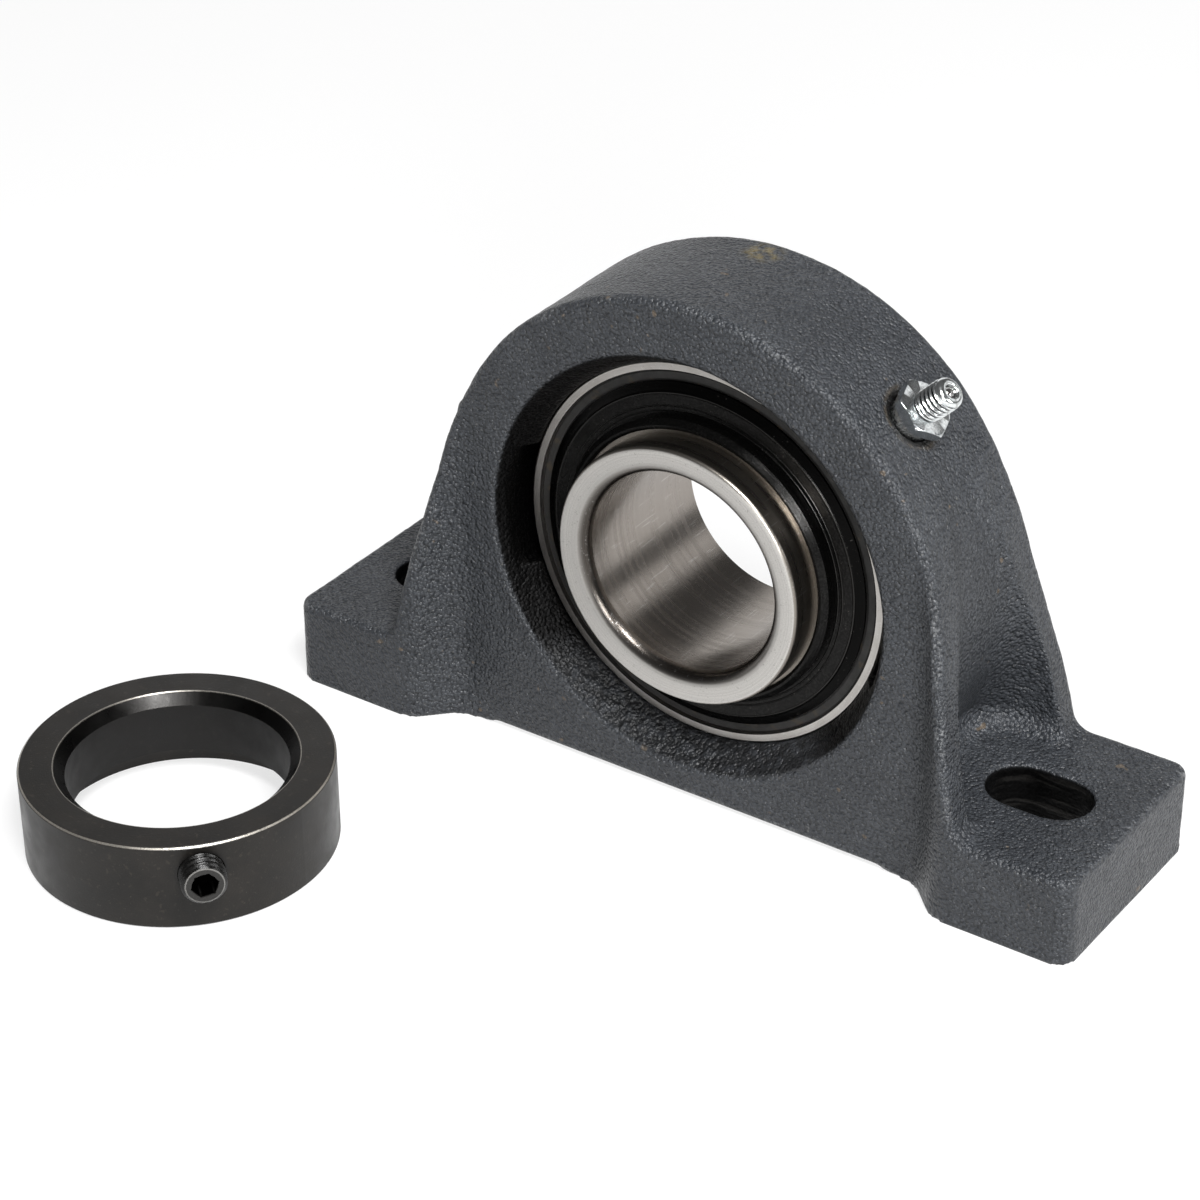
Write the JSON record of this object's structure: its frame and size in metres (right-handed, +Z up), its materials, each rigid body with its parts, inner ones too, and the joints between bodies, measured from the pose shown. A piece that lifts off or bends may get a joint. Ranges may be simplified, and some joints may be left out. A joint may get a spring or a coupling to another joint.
{
  "type": "pillow block bearing",
  "caption": "Cast pillow block housing with a self-aligning sealed ball bearing insert, a grease fitting and a separate locking collar lying beside it.",
  "frame": {"origin": "middle of the two mounting slots on the base plane, under the centre of the shaft bore", "axes": "+X along the base, +Y along the shaft away from the collar end, +Z up from the mounting surface"},
  "size_m": [0.204, 0.145, 0.1133],
  "materials": {
    "cast_iron_paint": "dark slate grey paint on a sand-cast surface",
    "ground_steel": "ground bearing steel",
    "pressed_steel": "pressed sheet steel",
    "seal_rubber": "moulded nitrile rubber",
    "black_steel": "black satin coating on steel",
    "zinc_plate": "bright zinc plate",
    "ball_steel": "polished steel",
    "black_oxide": "black oxide on turned steel",
    "screw_black": "black oxide alloy steel"
  },
  "bodies": {
    "base": {"housing": "cast_iron_paint", "grease_fitting_body": "zinc_plate", "grease_fitting_spring": "ball_steel"},
    "insert": {"outer_ring": "ground_steel", "front_seal": "seal_rubber", "rear_seal": "seal_rubber"},
    "shaft_ring": {"inner_ring": "ground_steel", "front_flinger": "black_steel", "rear_flinger": "black_steel"},
    "cage": {"cage_front": "pressed_steel", "cage_rear": "pressed_steel", "cage_rivets": "pressed_steel"},
    "check_ball": {"grease_fitting_ball": "ball_steel"},
    "collar": {"locking_collar": "black_oxide"},
    "screw": {"set_screw": "screw_black"},
    "rolling_ball_1": {"ball_1": "ball_steel"},
    "rolling_ball_2": {"ball_2": "ball_steel"},
    "rolling_ball_3": {"ball_3": "ball_steel"},
    "rolling_ball_4": {"ball_4": "ball_steel"},
    "rolling_ball_5": {"ball_5": "ball_steel"},
    "rolling_ball_6": {"ball_6": "ball_steel"},
    "rolling_ball_7": {"ball_7": "ball_steel"},
    "rolling_ball_8": {"ball_8": "ball_steel"},
    "rolling_ball_9": {"ball_9": "ball_steel"}
  },
  "joints": [
    {"name": "insert_tilt", "type": "hinge", "parent": "base", "child": "insert", "pos_m": [0, 0, 0.054], "axis": [1, 0, 0], "range_deg": [-2, 2]},
    {"name": "inner_spin", "type": "hinge", "parent": "insert", "child": "shaft_ring", "pos_m": [0, 0, 0.054], "axis": [0, 1, 0], "continuous": true},
    {"name": "cage_spin", "type": "hinge", "parent": "insert", "child": "cage", "pos_m": [0, 0, 0.054], "axis": [0, 1, 0], "continuous": true},
    {"name": "ball_1_spin", "type": "hinge", "parent": "cage", "child": "rolling_ball_1", "pos_m": [0.033, 0, 0.054], "axis": [0, 1, 0], "continuous": true},
    {"name": "ball_2_spin", "type": "hinge", "parent": "cage", "child": "rolling_ball_2", "pos_m": [0.02528, 0, 0.07521], "axis": [0, 1, 0], "continuous": true},
    {"name": "ball_3_spin", "type": "hinge", "parent": "cage", "child": "rolling_ball_3", "pos_m": [0.00573, 0, 0.0865], "axis": [0, 1, 0], "continuous": true},
    {"name": "ball_4_spin", "type": "hinge", "parent": "cage", "child": "rolling_ball_4", "pos_m": [-0.0165, 0, 0.08258], "axis": [0, 1, 0], "continuous": true},
    {"name": "ball_5_spin", "type": "hinge", "parent": "cage", "child": "rolling_ball_5", "pos_m": [-0.03101, 0, 0.06529], "axis": [0, 1, 0], "continuous": true},
    {"name": "ball_6_spin", "type": "hinge", "parent": "cage", "child": "rolling_ball_6", "pos_m": [-0.03101, 0, 0.04271], "axis": [0, 1, 0], "continuous": true},
    {"name": "ball_7_spin", "type": "hinge", "parent": "cage", "child": "rolling_ball_7", "pos_m": [-0.0165, 0, 0.02542], "axis": [0, 1, 0], "continuous": true},
    {"name": "ball_8_spin", "type": "hinge", "parent": "cage", "child": "rolling_ball_8", "pos_m": [0.00573, 0, 0.0215], "axis": [0, 1, 0], "continuous": true},
    {"name": "ball_9_spin", "type": "hinge", "parent": "cage", "child": "rolling_ball_9", "pos_m": [0.02528, 0, 0.03279], "axis": [0, 1, 0], "continuous": true},
    {"name": "check_ball_press", "type": "slide", "parent": "base", "child": "check_ball", "axis": [-0.7193, 0, -0.6947], "range_m": [0, 0.0008], "stiffness_N_per_m": 2000, "springref_m": -0.0005, "deforming": ["grease_fitting_spring"]},
    {"name": "collar_lift", "type": "slide", "parent": "base", "child": "collar", "axis": [0, 0, 1], "range_m": [0, 0.12]},
    {"name": "screw_travel", "type": "slide", "parent": "collar", "child": "screw", "axis": [-0.749, 0.6626, 0], "range_m": [0, 0.0052]}
  ],
  "couplings": [
    {"joint": "cage_spin", "follows": "inner_spin", "ratio": 0.40379},
    {"joint": "ball_1_spin", "follows": "inner_spin", "ratio": -2.5022},
    {"joint": "ball_2_spin", "follows": "inner_spin", "ratio": -2.5022},
    {"joint": "ball_3_spin", "follows": "inner_spin", "ratio": -2.5022},
    {"joint": "ball_4_spin", "follows": "inner_spin", "ratio": -2.5022},
    {"joint": "ball_5_spin", "follows": "inner_spin", "ratio": -2.5022},
    {"joint": "ball_6_spin", "follows": "inner_spin", "ratio": -2.5022},
    {"joint": "ball_7_spin", "follows": "inner_spin", "ratio": -2.5022},
    {"joint": "ball_8_spin", "follows": "inner_spin", "ratio": -2.5022},
    {"joint": "ball_9_spin", "follows": "inner_spin", "ratio": -2.5022}
  ]
}
